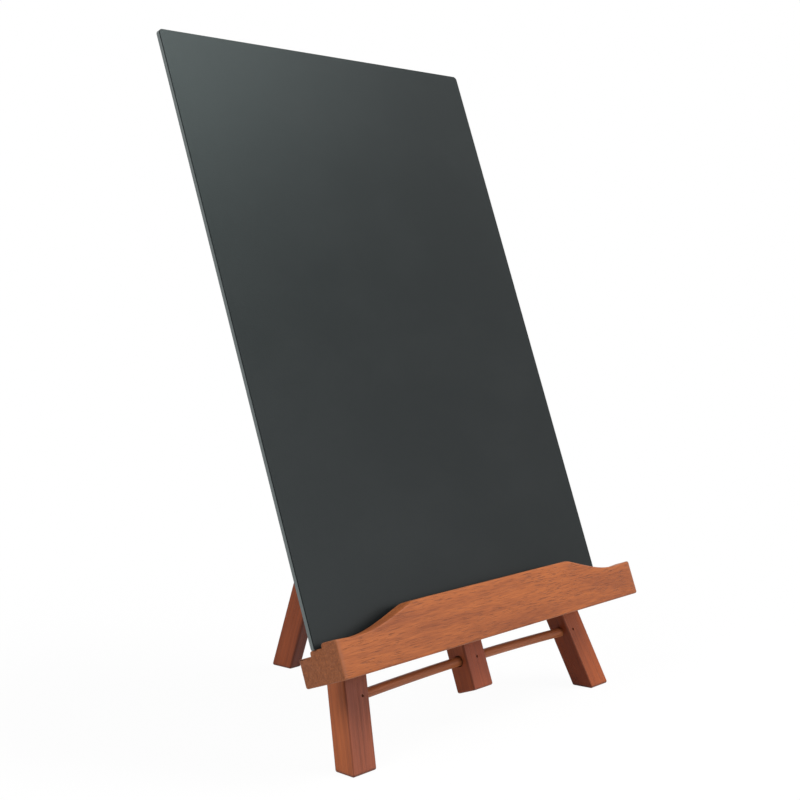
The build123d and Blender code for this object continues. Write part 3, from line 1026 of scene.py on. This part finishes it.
# %% [markdown]
# ## A white table and a white room
#
# The object stands on white, and only a faint shadow grounds it. Camera, mirror and glass
# rays see a nearly pure white floor and a white room, while the object itself is lit by a
# softer, greyer room and by lamps, so that its colours come out as they are written. Near the
# object a small share of the plain grey floor shows through, and that is where the shadow is.

# %% Floor and room
def white_for_eyes(tree):
    """1 for rays that look at the background, from the camera, a mirror or glass."""
    path = put(tree, "ShaderNodeLightPath").outputs
    seen = maths(tree, "MAXIMUM", path["Is Camera Ray"], path["Is Glossy Ray"])
    return maths(tree, "MAXIMUM", seen, path["Is Transmission Ray"])


shadow_near = 0.22
shadow_far = 0.6
glow_near = 0.96
floor_grey = (0.75, 0.75, 0.75, 1)

floor_material = bpy.data.materials.new("white_floor")
floor_material.use_nodes = True
floor_nodes = floor_material.node_tree
floor_nodes.nodes.clear()
matt = put(floor_nodes, "ShaderNodeBsdfDiffuse", {"Color": floor_grey})
glow = put(floor_nodes, "ShaderNodeEmission", {"Color": (1, 1, 1, 1), "Strength": 1.0})
floor_place = put(floor_nodes, "ShaderNodeTexCoord").outputs["Object"]
away = put(floor_nodes, "ShaderNodeVectorMath", {0: floor_place}, operation="LENGTH").outputs["Value"]
glowing = fade(floor_nodes, away, shadow_near, shadow_far, glow_near, 1.0)
share = maths(floor_nodes, "MULTIPLY", white_for_eyes(floor_nodes), glowing)
cover = put(floor_nodes, "ShaderNodeMixShader", {0: share, 1: matt.outputs[0], 2: glow.outputs[0]})
put(floor_nodes, "ShaderNodeOutputMaterial", {0: cover.outputs[0]})

floor_half = 6.0
floor_drop = 0.2 * mm
floor_mesh = bpy.data.meshes.new("floor")
square = ((-1, -1), (1, -1), (1, 1), (-1, 1))
floor_corners = [(x * floor_half, y * floor_half, -floor_drop) for x, y in square]
floor_mesh.from_pydata(floor_corners, [], [(0, 1, 2, 3)])
floor_mesh.materials.append(floor_material)
floor = bpy.data.objects.new("floor", floor_mesh)
bpy.context.scene.collection.objects.link(floor)
floor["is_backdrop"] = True

room_light = 0.28
world = bpy.data.worlds.new("room")
bpy.context.scene.world = world
world.use_nodes = True
room = world.node_tree
room_strength = fade(room, white_for_eyes(room), 0.0, 1.0, room_light, 1.0)
background = room.nodes["Background"]
background.inputs["Color"].default_value = (1, 1, 1, 1)
room.links.new(room_strength, background.inputs["Strength"])
print("the floor is", 2 * floor_half, "m wide and lies", floor_drop / mm, "mm below the feet")

# %% [markdown]
# ## Three soft lamps
#
# The main softbox hangs high in front and to the right. Its mirror image falls on the
# upper left of the board, which is where the soft sheen is, and it leaves the legs in the
# shade of the ledge. A weaker one at the left lights the ends and the legs' left sides, and
# a faint pinkish one, low in front and to the right, opens up the shade below the ledge.

# %% Lamps
lamp_distance = 2.2
pinkish = (1.0, 0.82, 0.86)


def softbox(name, heading, height, size, power, colour=(1, 1, 1)):
    """A square lamp that looks at the easel, so many degrees right of the front and up."""
    data = bpy.data.lights.new(name, "AREA")
    data.size = size
    data.energy = power
    data.color = colour
    lamp = bpy.data.objects.new(name, data)
    turn, rise = math.radians(heading), math.radians(height)
    level_reach = math.cos(rise)
    way = Vector((math.sin(turn) * level_reach, -math.cos(turn) * level_reach, math.sin(rise)))
    aim = (cad_low + cad_high) / 2
    facing_back = way.to_track_quat("Z", "Y").to_matrix().to_4x4()
    lamp.matrix_world = Matrix.Translation(aim + way * lamp_distance) @ facing_back
    bpy.context.scene.collection.objects.link(lamp)
    print(name, "gives", power, "W")


softbox("main_softbox", heading=38, height=52, size=1.1, power=50)
softbox("left_softbox", heading=-88, height=34, size=1.0, power=34)
softbox("low_fill", heading=31, height=14, size=1.0, power=17, colour=pinkish)
bpy.context.scene.view_settings.view_transform = "Standard"

# %% [markdown]
# ## The sizes at the end
#
# The CAD box was read right after loading. Reading the box again now, with every dressed piece
# in place, gives the size of what is seen, and both are printed.

# %% Sizes and the last line
seen_low, seen_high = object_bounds()
sizes = {"cad": [list(cad_low), list(cad_high)], "visual": [list(seen_low), list(seen_high)]}
print("sizes:", sizes)
